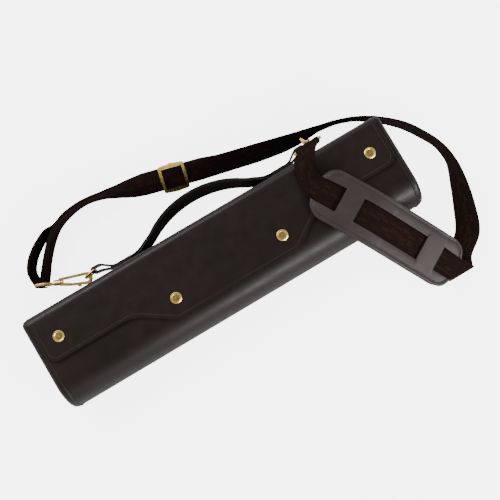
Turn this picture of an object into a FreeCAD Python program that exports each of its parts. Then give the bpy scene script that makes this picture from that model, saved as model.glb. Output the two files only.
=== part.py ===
"""Leather cue case with a front flap, a top handle and a clip-on shoulder strap.

The case lies on its back: +Z is up out of the front, +X runs along the length and +Y points
to the handle side. The origin is on the back panel, under the middle of the case. Millimetres.
"""
import FreeCAD, Part

import math
import os

from FreeCAD import Placement, Rotation, Vector

doc = FreeCAD.newDocument("CueCase")

# --------------------------------------------------------------------------- driving sizes
SIZES = {
    # case shell
    "wrap_length": 784.0,
    "top_y": 100.0,
    "bottom_y": -98.0,
    "front_z": 100.0,
    "round_top_front": 12.0,
    "round_top_back": 14.0,
    "round_bottom_front": 58.0,
    "round_bottom_back": 36.0,
    "leather": 3.0,
    "board": 3.0,
    "lining": 1.5,
    "layer_gap": 0.1,
    "mouth_top_y": 87.0,
    "mouth_low_y": 54.0,
    # ends
    "welt_width": 3.0,
    "end_thickness": 13.0,
    "end_round": 11.0,
    "end_leather": 4.0,
    "end_board": 4.6,
    # flap
    "flap_half_length": 393.0,
    "flap_gap": 2.5,
    "flap_backing": 1.0,
    "flap_leather": 3.0,
    "flap_crease_y": 96.2,
    "flap_side_low_y": -1.0,
    "flap_tongue_low_y": -50.5,
    "flap_corner": 20.0,
    # snaps
    "snap_outer_x": 352.0,
    "snap_outer_y": 40.0,
    "snap_inner_x": 120.0,
    "snap_inner_y": -12.0,
    "snap_cap_radius": 11.5,
    "snap_cap_height": 3.0,
    "snap_post_radius": 2.4,
    # handle
    "handle_centre_x": 6.0,
    "handle_mid_z": 52.0,
    "handle_width": 25.0,
    "handle_thickness": 8.5,
    "handle_layer": 4.2,
    "handle_rise": 58.0,
    "handle_half_span": 164.0,
    "handle_lean": 30.0,
    "strip_thickness": 2.5,
    "rivet_radius": 2.2,
    # rings and hooks
    "loop_offset_x": 242.0,
    "loop_y": 122.0,
    "ring_wire": 5.0,
    "ring_radius": 15.5,
    "ring_leg": 8.5,
    "hook_thickness": 7.0,
    "hook_length": 96.0,
    "eye_wire": 5.0,
    "eye_width": 62.0,
    # strap
    "webbing_width": 50.8,
    "webbing_thickness": 2.0,
    "pad_length": 324.0,
    "pad_width": 105.0,
    "pad_base": 2.5,
    "pad_foam": 7.0,
    "pad_face": 2.5,
    "pad_round": 34.0,
    "pad_droop": 16.0,
}

sheet = doc.addObject("Spreadsheet::Sheet", "Sizes")
for row, (alias, value) in enumerate(SIZES.items(), start=1):
    sheet.set("A%d" % row, alias)
    sheet.set("B%d" % row, str(value))
    sheet.setAlias("B%d" % row, alias)
doc.recompute()


def size(alias):
    """The value of one driving size, read back from the sheet."""
    return float(sheet.get(alias))


CLEAR = 0.3
TOP_Y = size("top_y")
FRONT_Z = size("front_z")
parts = []


# --------------------------------------------------------------------------- plane outlines
def trace(points, closed):
    """Straight runs and tangent arcs through points (x, y, radius): a list of runs, each with its
    points and the left-hand normals there."""
    count = len(points)
    entry, leave, arcs = [], [], []
    for index, (x, y, radius) in enumerate(points):
        here = Vector(x, y, 0)
        ends = not closed and index in (0, count - 1)
        if ends or radius <= 0:
            entry.append(here)
            leave.append(here)
            arcs.append(None)
            continue
        before = Vector(*points[index - 1][:2], 0) - here
        after = Vector(*points[(index + 1) % count][:2], 0) - here
        before.normalize()
        after.normalize()
        half = before.getAngle(after) / 2
        setback = radius / math.tan(half)
        inward = before + after
        inward.normalize()
        centre = here + inward * (radius / math.sin(half))
        first = here + before * setback
        last = here + after * setback
        middle = centre - inward * radius
        turn = 1 if (after - before).cross(before).z > 0 else -1
        entry.append(first)
        leave.append(last)
        arcs.append((first, middle, last, centre, turn))
    runs = []
    for index in range(count if closed else count - 1):
        start, end = leave[index], entry[(index + 1) % count]
        if start.distanceToPoint(end) > 1e-6:
            along = end - start
            along.normalize()
            normal = Vector(-along.y, along.x, 0)
            runs.append([(start, normal), (end, normal)])
        arc = arcs[(index + 1) % count]
        if arc:
            centre, turn = arc[3], arc[4]
            stretch = []
            for point in arc[:3]:
                outward = point - centre
                outward.normalize()
                stretch.append((point, outward * -turn))
            runs.append(stretch)
    return runs


def edges_of(runs, offset=0.0):
    """Sketch geometry of traced runs, moved sideways by offset along their left-hand normals."""
    geometry = []
    for run in runs:
        moved = [point + normal * offset for point, normal in run]
        if len(moved) == 2:
            geometry.append(Part.LineSegment(*moved))
        else:
            geometry.append(Part.Arc(*moved))
    return geometry


def outline(points):
    """A closed outline through points (x, y, corner radius)."""
    return edges_of(trace(points, True))


def band(points, low, high):
    """A closed band between two offsets of an open route of points (x, y, radius)."""
    runs = trace(points, False)
    first_low = runs[0][0][0] + runs[0][0][1] * low
    first_high = runs[0][0][0] + runs[0][0][1] * high
    last_low = runs[-1][-1][0] + runs[-1][-1][1] * low
    last_high = runs[-1][-1][0] + runs[-1][-1][1] * high
    caps = [Part.LineSegment(first_low, first_high), Part.LineSegment(last_low, last_high)]
    return edges_of(runs, low) + edges_of(runs, high) + caps


def rectangle(x_low, x_high, y_low, y_high):
    corners = [(x_low, y_low, 0), (x_high, y_low, 0), (x_high, y_high, 0), (x_low, y_high, 0)]
    return outline(corners)


def circle(x, y, radius):
    return [Part.Circle(Vector(x, y, 0), Vector(0, 0, 1), radius)]


# --------------------------------------------------------------------------- feature helpers
def new_body(name, placement=None):
    body = doc.addObject("PartDesign::Body", name)
    body.Label = name
    if placement:
        body.Placement = placement
    parts.append(body)
    return body


def add_sketch(body, geometry, plane, offset):
    """A sketch on one of the body's origin planes, moved by offset along its normal."""
    sketch = body.newObject("Sketcher::SketchObject", body.Name + "_sketch")
    planes = {feature.Role: feature for feature in body.Origin.OriginFeatures}
    sketch.AttachmentSupport = [(planes[plane], "")]
    sketch.MapMode = "FlatFace"
    if isinstance(offset, str):
        sketch.setExpression("AttachmentOffset.Base.z", offset)
    else:
        sketch.AttachmentOffset = Placement(Vector(0, 0, offset), Rotation())
    for curve in geometry:
        sketch.addGeometry(curve, False)
    return sketch


def add_pad(body, geometry, plane, length, offset=0.0, middle=False):
    """Pads a closed outline; length and offset are numbers or expressions of the sheet."""
    sketch = add_sketch(body, geometry, plane, offset)
    pad = body.newObject("PartDesign::Pad", body.Name + "_pad")
    pad.Profile = sketch
    pad.Midplane = middle
    if isinstance(length, str):
        pad.setExpression("Length", length)
    else:
        pad.Length = length
    doc.recompute()
    return pad


def add_pocket(body, geometry, plane, length, offset=0.0, reverse=False, middle=False):
    """Pockets a closed outline and makes sure that it took material away."""
    before = body.Shape.Volume
    sketch = add_sketch(body, geometry, plane, offset)
    pocket = body.newObject("PartDesign::Pocket", body.Name + "_pocket")
    pocket.Profile = sketch
    pocket.Length = length
    pocket.Reversed = reverse
    pocket.Midplane = middle
    doc.recompute()
    if body.Shape.Volume >= before - 1e-3:
        raise RuntimeError("a pocket in %s cut nothing" % body.Name)
    return pocket


def add_fillet(body, chosen, radius):
    """Rounds the edges of the body's tip that chosen() accepts; radius is an expression."""
    tip = body.Tip
    names = [
        "Edge%d" % (index + 1) for index, edge in enumerate(tip.Shape.Edges) if chosen(edge)
    ]
    fillet = body.newObject("PartDesign::Fillet", body.Name + "_fillet")
    fillet.Base = (tip, names)
    if isinstance(radius, str):
        fillet.setExpression("Radius", radius)
    else:
        fillet.Radius = radius
    doc.recompute()
    return fillet


def add_feature(name, shape, placement=None):
    feature = doc.addObject("Part::Feature", name)
    feature.Label = name
    feature.Shape = shape
    if placement:
        feature.Placement = placement
    parts.append(feature)
    return feature


def frame_at(origin, along, across):
    """Placement whose local X is along, local Y is across and origin is at origin."""
    x_axis = Vector(along)
    x_axis.normalize()
    y_axis = Vector(across)
    y_axis = y_axis - x_axis * y_axis.dot(x_axis)
    y_axis.normalize()
    z_axis = x_axis.cross(y_axis)
    return Placement(Vector(origin), Rotation(x_axis, y_axis, z_axis, "XYZ"))


# --------------------------------------------------------------------------- case shell
def section(inset):
    """The case's cross-section in the YZ plane, moved inwards by inset."""
    low_y, high_y = size("bottom_y") + inset, TOP_Y - inset
    low_z, high_z = inset, FRONT_Z - inset
    return outline([
        (low_y, low_z, size("round_bottom_back") - inset),
        (high_y, low_z, size("round_top_back") - inset),
        (high_y, high_z, size("round_top_front") - inset),
        (low_y, high_z, size("round_bottom_front") - inset),
    ])


def snap_places():
    outer = [(side * size("snap_outer_x"), size("snap_outer_y")) for side in (-1, 1)]
    inner = [(side * size("snap_inner_x"), size("snap_inner_y")) for side in (-1, 1)]
    return outer + inner


def rivet_places():
    """Lengthwise places of the handle's rivets."""
    return [size("handle_centre_x") + side * reach for side in (-1, 1) for reach in (172.0, 189.0)]


def circles(places, radius):
    return [curve for x, y in places for curve in circle(x, y, radius)]


def shell_layer(name, inset, thickness, length):
    """One layer of the bent shell, open at the mouth under the flap and pierced for fasteners."""
    body = new_body(name)
    add_pad(body, section(inset) + section(inset + thickness), "YZ_Plane", length, middle=True)
    mouth = rectangle(-400, 400, size("mouth_low_y"), size("mouth_top_y"))
    add_pocket(body, mouth, "XY_Plane", 30.0, offset=FRONT_Z + 5)
    snaps = circles(snap_places(), size("snap_post_radius") + 0.1)
    add_pocket(body, snaps, "XY_Plane", 30.0, offset=FRONT_Z + 5)
    # an XZ sketch's vertical runs along +Z and its normal along -Y
    rivets = circles([(x, size("handle_mid_z")) for x in rivet_places()], size("rivet_radius") + 0.1)
    add_pocket(body, rivets, "XZ_Plane", 30.0, offset=-TOP_Y - 5, reverse=True)
    return body


INNER_LENGTH = size("wrap_length") - 2 * size("end_board") - 0.8
board_inset = size("leather") + size("layer_gap")
lining_inset = board_inset + size("board") + size("layer_gap")
shell_layer("body_wrap", 0.0, size("leather"), "Sizes.wrap_length")
shell_layer("shell_board", board_inset, size("board"), INNER_LENGTH)
shell_layer("shell_lining", lining_inset, size("lining"), INNER_LENGTH)

WALL = lining_inset + size("lining")
binding = new_body("mouth_binding")
binding_y = size("mouth_low_y")
binding_profile = rectangle(binding_y + 0.1, binding_y + 1.6, FRONT_Z - WALL, FRONT_Z)
add_pad(binding, binding_profile, "YZ_Plane", INNER_LENGTH, middle=True)

half_wrap = size("wrap_length") / 2
END_START = half_wrap + 0.1 + size("welt_width") + 0.1
for side, start_sign in (("left", -1), ("right", 1)):

    def end_offset(near, far):
        """Lower end along X of a piece between two distances from the middle."""
        return near if start_sign > 0 else -far

    board = new_body(side + "_end_board")
    near = half_wrap - 0.2 - size("end_board")
    add_pad(board, section(board_inset), "YZ_Plane", "Sizes.end_board",
            offset=end_offset(near, near + size("end_board")))

    welt = new_body(side + "_welt")
    near = half_wrap + 0.1
    add_pad(welt, section(0.0) + section(size("leather")), "YZ_Plane", "Sizes.welt_width",
            offset=end_offset(near, near + size("welt_width")))

    panel = new_body(side + "_end_panel")
    far = END_START + size("end_thickness")
    add_pad(panel, section(0.0), "YZ_Plane", "Sizes.end_thickness",
            offset=end_offset(END_START, far))
    outer_x = start_sign * far
    add_fillet(panel, lambda edge: abs(edge.CenterOfMass.x - outer_x) < 0.01, "Sizes.end_round")
    foam_depth = size("end_thickness") - size("end_leather")
    add_pocket(panel, section(size("end_leather") + 7), "YZ_Plane", foam_depth,
               offset=start_sign * END_START, reverse=start_sign > 0)

    foam = new_body(side + "_end_foam")
    add_pad(foam, section(size("end_leather") + 7.1), "YZ_Plane", foam_depth - 0.2,
            offset=end_offset(END_START + 0.1, END_START + foam_depth - 0.1))

# --------------------------------------------------------------------------- inside
BUTT_RADIUS = 17.0
SHAFT_RADIUS = 7.5
cradle_low_y = size("bottom_y") + WALL + 0.3
cradle_high_y = -34.0
for name, centre_x in (("left_cradle", -270.0), ("middle_cradle", 0.0), ("right_cradle", 270.0)):
    cradle = new_body(name)
    profile = outline([
        (cradle_low_y, WALL + 0.3, size("round_bottom_back") - WALL - 0.3),
        (cradle_high_y, WALL + 0.3, 0),
        (cradle_high_y, FRONT_Z - WALL - 0.3, 0),
        (cradle_low_y, FRONT_Z - WALL - 0.3, size("round_bottom_front") - WALL - 0.3),
    ])
    add_pad(cradle, profile, "YZ_Plane", 30.0, offset=centre_x - 15.0)
    butt_slots = []
    for slot_z in (30.0, 70.0):
        butt_slots += outline([
            (cradle_high_y - 32.0, slot_z - BUTT_RADIUS, BUTT_RADIUS - 0.01),
            (cradle_high_y + 5.0, slot_z - BUTT_RADIUS, 0),
            (cradle_high_y + 5.0, slot_z + BUTT_RADIUS, 0),
            (cradle_high_y - 32.0, slot_z + BUTT_RADIUS, BUTT_RADIUS - 0.01),
        ])
    add_pocket(cradle, butt_slots, "YZ_Plane", 32.0, offset=centre_x - 16.0, reverse=True)
    keeper = new_body(name.replace("cradle", "keeper"))
    keeper_profile = rectangle(cradle_high_y + 0.2, cradle_high_y + 1.7, 9.0, 91.0)
    add_pad(keeper, keeper_profile, "YZ_Plane", 24.0, offset=centre_x - 12.0)

# --------------------------------------------------------------------------- flap and snaps
BACKING_Z = FRONT_Z + size("flap_gap")
LEATHER_Z = BACKING_Z + size("flap_backing")
FLAP_TOP_Z = LEATHER_Z + size("flap_leather")


def flap_outline(inset):
    """Flap outline with its deeper middle tongue, in the XY plane."""
    half = size("flap_half_length") - inset
    crease = size("flap_crease_y") - inset
    side_low = size("flap_side_low_y") + inset
    tongue_low = size("flap_tongue_low_y") + inset
    corner = size("flap_corner") - inset
    shoulder, toe = 212.0 - inset, 137.0 - inset
    return outline([
        (-half, crease, 0), (-half, side_low, corner), (-shoulder, side_low, 60.0),
        (-toe, tongue_low, 36.0), (toe, tongue_low, 36.0), (shoulder, side_low, 60.0),
        (half, side_low, corner), (half, crease, 0),
    ])


for name, low_z, thickness, inset in (
    ("flap_backing", BACKING_Z, "Sizes.flap_backing", 2.0),
    ("flap", LEATHER_Z, "Sizes.flap_leather", 0.0),
):
    layer = new_body(name)
    add_pad(layer, flap_outline(inset), "XY_Plane", thickness, offset=low_z)
    add_pocket(layer, circles(snap_places(), size("snap_post_radius") + 0.1), "XY_Plane", 20.0,
               offset=FLAP_TOP_Z + 5)


def turned(profile_points):
    """A turned solid from (radius, height) points, about the Z axis."""
    loop = [Vector(radius, 0, height) for radius, height in profile_points]
    face = Part.Face(Part.makePolygon(loop + loop[:1]))
    return face.revolve(Vector(0, 0, 0), Vector(0, 0, 1), 360)


def copies(shape, places):
    """One compound of the same solid at several places (x, y, z)."""
    return Part.Compound([shape.translated(Vector(*place)) for place in places])


post = size("snap_post_radius")
cap = size("snap_cap_radius")
cap_height = size("snap_cap_height")
through = FLAP_TOP_Z - BACKING_Z + 0.2
cap_solid = turned([
    (0, -through), (post, -through), (post, 0), (cap - 1, 0), (cap, 0.8), (cap - 0.3, 2.2),
    (cap - 1.6, cap_height), (cap - 3.0, cap_height - 0.4), (cap - 4.0, cap_height - 1.2),
    (0, cap_height - 0.9),
])
add_feature("snap_caps", copies(cap_solid, [(x, y, FLAP_TOP_Z) for x, y in snap_places()]))
socket_solid = turned([(3.3, -1.4), (6.4, -1.4), (7.2, -0.9), (7.2, 0), (3.3, 0)])
add_feature("snap_sockets", copies(socket_solid, [(x, y, BACKING_Z - 0.05) for x, y in snap_places()]))
stud_solid = turned([(0, -0.4), (post, -0.4), (post, 0), (6.8, 0), (6.8, 0.6), (3.0, 0.8),
                     (3.0, 2.0), (2.5, 2.2), (0, 2.2)])
add_feature("snap_studs", copies(stud_solid, [(x, y, FRONT_Z) for x, y in snap_places()]))
eyelet_solid = turned([(0, 0.0), (6.2, 0.0), (6.2, 0.8), (post, 1.0), (post, WALL + 0.4),
                       (0, WALL + 0.4)])
add_feature("snap_eyelets",
            copies(eyelet_solid, [(x, y, FRONT_Z - WALL - 1.2) for x, y in snap_places()]))

# --------------------------------------------------------------------------- handle
MID_X = size("handle_centre_x")
MID_Z = size("handle_mid_z")
STRIP_LOW = TOP_Y + 0.1
STRIP_HIGH = STRIP_LOW + size("strip_thickness")
THICK = size("handle_thickness")
FOOT_Y = STRIP_HIGH + 0.1 + THICK / 2
GAP = 0.4
rise = size("handle_rise")
half_span = size("handle_half_span")
half_turn = math.atan2(rise, half_span)
arc_sum = half_span / math.sin(2 * half_turn)
crown_radius = arc_sum * 0.64
base_radius = arc_sum - crown_radius

strip = new_body("handle_strip")
add_pad(strip, rectangle(MID_X - 222.0, MID_X + 222.0, STRIP_LOW, STRIP_HIGH), "XY_Plane", 38.0,
        offset=MID_Z - 19.0)
strip_holes = circles([(x, MID_Z) for x in rivet_places()], size("rivet_radius") + 0.1)
add_pocket(strip, strip_holes, "XZ_Plane", 30.0, offset=-TOP_Y - 10, reverse=True)

def ribbon(stations, width, thickness, shift=0.0):
    """A thin strip lofted through stations (centre, width direction, width factor); shift moves
    it along its own normal."""
    wires = []
    count = len(stations)
    for index, (centre, across, factor) in enumerate(stations):
        before = stations[max(index - 1, 0)][0]
        after = stations[min(index + 1, count - 1)][0]
        side_way = Vector(across)
        side_way.normalize()
        normal = (after - before).cross(side_way)
        normal.normalize()
        centre = centre + normal * shift
        half_w, half_t = side_way * (width * factor / 2), normal * (thickness / 2)
        corners = [centre + half_w + half_t, centre - half_w + half_t,
                   centre - half_w - half_t, centre + half_w - half_t]
        wires.append(Part.makePolygon(corners + corners[:1]))
    return Part.makeLoft(wires, True, True)


# the grip: two leather layers in one tall arch, leaning towards the back as it rises
turn = 2 * half_turn
arch = []
for step in range(9):
    angle = turn * step / 8
    arch.append((-half_span + base_radius * math.sin(angle), base_radius * (1 - math.cos(angle))))
for step in range(1, 17):
    angle = turn * (1 - step / 8)
    arch.append((-crown_radius * math.sin(angle), rise - crown_radius * (1 - math.cos(angle))))
for step in range(1, 9):
    angle = turn * (1 - step / 8)
    arch.append((half_span - base_radius * math.sin(angle), base_radius * (1 - math.cos(angle))))
lean = math.radians(size("handle_lean"))
grip_stations = []
for x, height in arch:
    tilt = lean * min(1.0, height / 7.0)
    centre = Vector(MID_X + x, FOOT_Y + height * math.cos(lean), MID_Z - height * math.sin(lean))
    grip_stations.append((centre, Vector(0, math.sin(tilt), math.cos(tilt)), 1.0))
GRIP_WIDTH = size("handle_width")
for name, shift in (("handle_outer_layer", -THICK / 4), ("handle_inner_layer", THICK / 4)):
    add_feature(name, ribbon(grip_stations, GRIP_WIDTH, size("handle_layer"), shift))

LOOP_X = size("loop_offset_x")
LOOP_Y = size("loop_y")
BAR_CLEAR = size("ring_wire") / 2 + 0.5
loop_radius = BAR_CLEAR + size("handle_layer") / 2
for side, sign in (("left", -1), ("right", 1)):
    foot = new_body(side + "_handle_foot", Placement(Vector(MID_X, 0, MID_Z), Rotation()))
    start = half_span + GAP
    flat_end = LOOP_X - 46.0
    lift = LOOP_Y + loop_radius - (FOOT_Y + THICK / 4)
    upper = [
        (sign * start, FOOT_Y + THICK / 4, 0),
        (sign * (flat_end + 8), FOOT_Y + THICK / 4, 24.0),
        (sign * (LOOP_X - 14.0), FOOT_Y + THICK / 4 + lift * 0.98, 14.0),
        (sign * (LOOP_X + loop_radius), LOOP_Y + loop_radius, loop_radius * 0.96),
        (sign * (LOOP_X + loop_radius), LOOP_Y - loop_radius, loop_radius * 0.96),
        (sign * (LOOP_X - 13.0), LOOP_Y - loop_radius - 2.5, 10.0),
        (sign * (flat_end + 6), FOOT_Y - THICK / 4, 20.0),
        (sign * start, FOOT_Y - THICK / 4, 0),
    ]
    half_layer = size("handle_layer") / 2
    add_pad(foot, band(upper, -half_layer, half_layer), "XY_Plane", "Sizes.handle_width",
            middle=True)
    holes = circles([(sign * reach, 0) for reach in (172.0, 189.0)], size("rivet_radius") + 0.1)
    add_pocket(foot, holes, "XZ_Plane", 30.0, offset=-TOP_Y - 20, reverse=True)

rivet_low = TOP_Y - WALL - 0.2
rivet_high = FOOT_Y + THICK / 2
radius = size("rivet_radius")
rivet_solid = turned([
    (0, rivet_low - 1.2), (5.0, rivet_low - 1.2), (5.0, rivet_low), (radius, rivet_low),
    (radius, rivet_high + 0.1), (4.8, rivet_high + 0.1), (4.0, rivet_high + 1.4),
    (0, rivet_high + 1.8),
])
rivet_solid.rotate(Vector(), Vector(1, 0, 0), -90)
add_feature("handle_rivets", copies(rivet_solid, [(x, 0, MID_Z) for x in rivet_places()]))

# --------------------------------------------------------------------------- rings and hooks
WIRE = size("ring_wire")
RING_RADIUS = size("ring_radius")
RING_LEG = size("ring_leg")


def d_ring(name, place):
    """A bent-wire D: local X points away from its straight bar, local Y along the bar."""
    ring = new_body(name, place)
    spine = add_sketch(ring, outline([
        (0, -RING_RADIUS, 3.0), (RING_LEG + RING_RADIUS, -RING_RADIUS, RING_RADIUS - 0.5),
        (RING_LEG + RING_RADIUS, RING_RADIUS, RING_RADIUS - 0.5), (0, RING_RADIUS, 3.0),
    ]), "XY_Plane", 0.0)
    profile = add_sketch(ring, circle(0, 0, WIRE / 2), "XZ_Plane", 0.0)
    pipe = ring.newObject("PartDesign::AdditivePipe", name + "_pipe")
    pipe.Profile = profile
    pipe.Spine = spine
    doc.recompute()
    return ring


def hook_set(side, grip, along, normal):
    """A sprung snap hook clipped round a ring wire at grip; along points to its strap eye and
    normal is square to the hook's plane."""
    across = Vector(normal).cross(Vector(along))
    place = frame_at(grip, along, across)
    half = size("hook_thickness") / 2
    body = new_body(side + "_hook_body", place)
    arm = [(6.0, 9.5, 0), (-9.5, 9.5, 9.0), (-9.5, -9.5, 8.7), (57.4, -5.5, 0)]
    add_pad(body, band(arm, -3.0, 3.0), "XY_Plane", "Sizes.hook_thickness", middle=True)
    add_pad(body, circle(0, 0, 6.0), "YZ_Plane", 15.0, offset=54.0)
    stub = [(33.0, 8.2, 0), (57.0, 4.2, 0)]
    add_pad(body, band(stub, -3.0, 3.0), "XY_Plane", "Sizes.hook_thickness", middle=True)
    add_pocket(body, circle(0, 0, 2.5), "YZ_Plane", 24.0, offset=47.0, reverse=True)
    add_pocket(body, circle(0, 0, 4.2), "YZ_Plane", 7.6, offset=46.8, reverse=True)
    slot = rectangle(30.0, 43.0, 3.2, 13.0)
    add_pocket(body, slot, "XY_Plane", 4.4, middle=True)
    add_pocket(body, circle(37.0, 7.6, 1.55), "XY_Plane", 20.0, middle=True)

    gate = new_body(side + "_hook_gate", place)
    bar = [(7.0, 9.3, 0), (31.6, 8.4, 0)]
    add_pad(gate, band(bar, -2.8, 2.8), "XY_Plane", 5.6, middle=True)
    add_pad(gate, circle(37.0, 7.6, 2.9), "XY_Plane", 2.4, offset=-2.0)
    tongue = [(30.0, 8.3, 0), (36.0, 7.7, 0)]
    add_pad(gate, band(tongue, -2.2, 2.2), "XY_Plane", 2.4, offset=-2.0)
    add_pad(gate, outline([(12.0, 11.5, 0), (20.0, 11.0, 0), (18.5, 15.5, 1.5), (14.0, 15.5, 1.5)]),
            "XY_Plane", 4.0, middle=True)
    add_pocket(gate, circle(37.0, 7.6, 1.55), "XY_Plane", 20.0, middle=True)

    pin = new_body(side + "_gate_pin", place)
    add_pad(pin, circle(37.0, 7.6, 1.5), "XY_Plane", 7.8, middle=True)
    spring = new_body(side + "_gate_spring", place)
    add_pad(spring, circle(37.0, 7.6, 2.8) + circle(37.0, 7.6, 1.7), "XY_Plane", 1.4, offset=0.6)


def strap_eye(side, grip, along, bar):
    """The swivel eye: a headed stem in the hook's boss and a wide frame for the webbing."""
    eye = new_body(side + "_swivel_eye", frame_at(grip, along, bar))
    far = size("hook_length") + size("eye_wire") / 2
    near = far - 25.0
    wire = size("eye_wire")
    half_width = size("eye_width") / 2
    outer = outline([(near, -half_width, 4.0), (far, -half_width, 4.0), (far, half_width, 4.0),
                     (near, half_width, 4.0)])
    inner = rectangle(near + wire, far - wire, wire - half_width, half_width - wire)
    add_pad(eye, outer + inner, "XY_Plane", "Sizes.eye_wire", middle=True)
    add_fillet(eye, lambda edge: edge.Length > 3.0 and edge.BoundBox.ZLength < 0.01, 1.2)
    add_pad(eye, circle(0, 0, 2.2), "YZ_Plane", near + 1.0 - 50.0, offset=50.0)
    add_pad(eye, circle(0, 0, 3.6), "YZ_Plane", 3.6, offset=49.9)


ring_reach = {"left": Vector(-0.984, -0.18, 0), "right": Vector(0.933, 0.36, 0)}
ring_angle = {"left": -11.6, "right": 75.0}
hook_aim = {"left": Vector(-0.915, 0.364, -0.17), "right": Vector(-0.167, -0.2, 0.965)}
eye_bar = {"left": Vector(-0.158, 0.063, 0.985), "right": Vector(0.97, 0.05, 0.18)}
ring_bar, eye_centre = {}, {}
for side, sign in (("left", -1), ("right", 1)):
    reach = ring_reach[side]
    reach.normalize()
    ring_bar[side] = Vector(MID_X + sign * LOOP_X, LOOP_Y, MID_Z)
    d_ring(side + "_ring", frame_at(ring_bar[side], reach, Vector(0, 0, 1)))
    angle = math.radians(ring_angle[side])
    grip = ring_bar[side] + reach * (RING_LEG + RING_RADIUS * math.cos(angle))
    grip = grip + Vector(0, 0, RING_RADIUS * math.sin(angle))
    wire_line = reach * -math.sin(angle) + Vector(0, 0, math.cos(angle))
    aim = hook_aim[side]
    aim.normalize()
    normal = wire_line - aim * wire_line.dot(aim)
    normal.normalize()
    hook_set(side, grip, aim, normal)
    strap_eye(side, grip, aim, eye_bar[side])
    eye_centre[side] = grip + aim * size("hook_length")

# --------------------------------------------------------------------------- shoulder strap
WIDTH = size("webbing_width")
THIN = size("webbing_thickness")


def webbing(name, stations):
    """Flat webbing through stations (centre, width direction) or (..., width factor)."""
    full = [station if len(station) == 3 else (*station, 1.0) for station in stations]
    return add_feature(name, ribbon(full, WIDTH, THIN))


def banked(points):
    """Stations from (x, y, z, bank): the webbing's left edge is raised by bank degrees."""
    stations = []
    count = len(points)
    for index, (x, y, z, bank) in enumerate(points):
        before = points[max(index - 1, 0)]
        after = points[min(index + 1, count - 1)]
        along = Vector(after[0] - before[0], after[1] - before[1], 0)
        along.normalize()
        left = Vector(-along.y, along.x, 0)
        tilt = math.radians(bank)
        stations.append((Vector(x, y, z), left * math.cos(tilt) + Vector(0, 0, math.sin(tilt))))
    return stations


def lifted(points, under=0.0):
    """Adds heights to (x, y, bank): one edge rests on the ground, under lifts all of it."""
    rows = []
    for x, y, bank in points:
        tilt = math.radians(bank)
        low = WIDTH / 2 * math.sin(tilt) + (THIN / 2 + 0.3) * math.cos(tilt) + 0.3
        rows.append((x, y, low + under * math.cos(tilt), bank))
    return rows


# the running layer from the left eye, through the buckle and along the case to its corner
BUCKLE_Z = 25.0
LOOP_LEFT = [(-262.0, 241.0, 84.0), (-235.0, 251.0, 86.0), (-206.0, 256.0, 88.0),
             (-180.0, 255.5, 88.0), (-150.0, 249.5, 84.0), (-117.0, 240.0, 69.0),
             (-92.0, 233.5, 52.0)]
RUN_EYE = [(-330.0, 170.0, 80.0), (-316.0, 189.0, 82.0), (-301.0, 207.0, 82.0),
           (-285.0, 224.0, 82.0)]
BUCKLE_RUN = [(-64.0, 226.65, BUCKLE_Z, 38.0), (-4.0, 211.0, BUCKLE_Z, 38.0),
              (56.0, 195.35, BUCKLE_Z, 38.0)]
RUN_RIGHT = [(88.0, 187.0, 47.0), (118.0, 179.5, 49.0), (170.0, 167.0, 50.0), (225.0, 155.0, 58.0),
             (262.0, 149.0, 68.0), (308.0, 144.5, 85.0), (345.0, 137.5, 90.0), (382.0, 124.0, 91.0)]
LAST_ROOT = (412.0, 106.5, 89.0)


def leaning(heading, bank):
    """Width direction of webbing running at a heading (degrees from +X) with a bank."""
    turned_by, tilt = math.radians(heading), math.radians(bank)
    left = Vector(-math.sin(turned_by), math.cos(turned_by), 0)
    return tuple(left * math.cos(tilt) + Vector(0, 0, math.sin(tilt)))


# round the case's corner, along its end and rising to the fold under the pad
FOLD_RUN = [
    (440.0, 83.0, 26.8, leaning(-45, 87)), (463.5, 58.5, 26.8, leaning(-49, 86)),
    (484.5, 27.0, 26.8, leaning(-60, 86)), (503.0, -11.0, 27.2, leaning(-72, 88)),
    (508.0, -52.5, 28.0, leaning(-94, 83)), (497.5, -99.0, 29.5, leaning(-106, 64)),
    (480.0, -148.5, 33.5, leaning(-112, 47)), (457.0, -195.0, 39.0, leaning(-120, 30)),
]


def around_bar(side, way, angles, radius):
    """Stations round an eye's far bar; way points from the bar to where the webbing leads."""
    bar = Vector(eye_bar[side])
    bar.normalize()
    first = Vector(way)
    first = first - bar * first.dot(bar)
    first.normalize()
    second = bar.cross(first)
    centre = eye_centre[side]
    stations = []
    for angle in angles:
        turned_by = math.radians(angle)
        spoke = first * math.cos(turned_by) + second * math.sin(turned_by)
        stations.append((centre + spoke * radius, bar))
    return stations


EYE_WAY = Vector(0.55, 0.83, 0)
WRAP = size("eye_wire") / 2 * 1.42 + THIN / 2 + 0.9
run_points = lifted(RUN_EYE) + lifted(LOOP_LEFT, 3.4) + BUCKLE_RUN + lifted(RUN_RIGHT)
run_stations = banked(run_points + lifted([LAST_ROOT]))
webbing("strap_run", around_bar("left", EYE_WAY, (-90.0,), WRAP) + run_stations)

# the return layer: round the eye's bar and back under the running layer to the buckle's bar
RETURN_EYE = [(-354.0, 172.0, 80.0), (-352.0, 189.0, 82.0), (-338.0, 209.0, 82.0),
              (-320.0, 224.0, 82.0), (-302.0, 235.0, 83.0), (-284.0, 243.0, 84.0)]
under_run = []
for centre, across in run_stations[4:12]:
    after = run_stations[run_stations.index((centre, across)) + 1][0]
    normal = (after - centre).cross(across)
    normal.normalize()
    under_run.append((centre - normal * 3.2, across))
tail_centre, tail_across = run_stations[12]
tail_way = Vector(tail_centre - run_stations[11][0])
tail_way.normalize()
tail_normal = tail_way.cross(tail_across)
tail_normal.normalize()
tail = (tail_centre - tail_way * 5.0 - tail_normal * 3.2, tail_across)
webbing("strap_return", around_bar("left", EYE_WAY, (-92.0, -135.0, 180.0, 135.0, 90.0), WRAP)[1:]
        + banked(lifted(RETURN_EYE)) + under_run + [tail])

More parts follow.
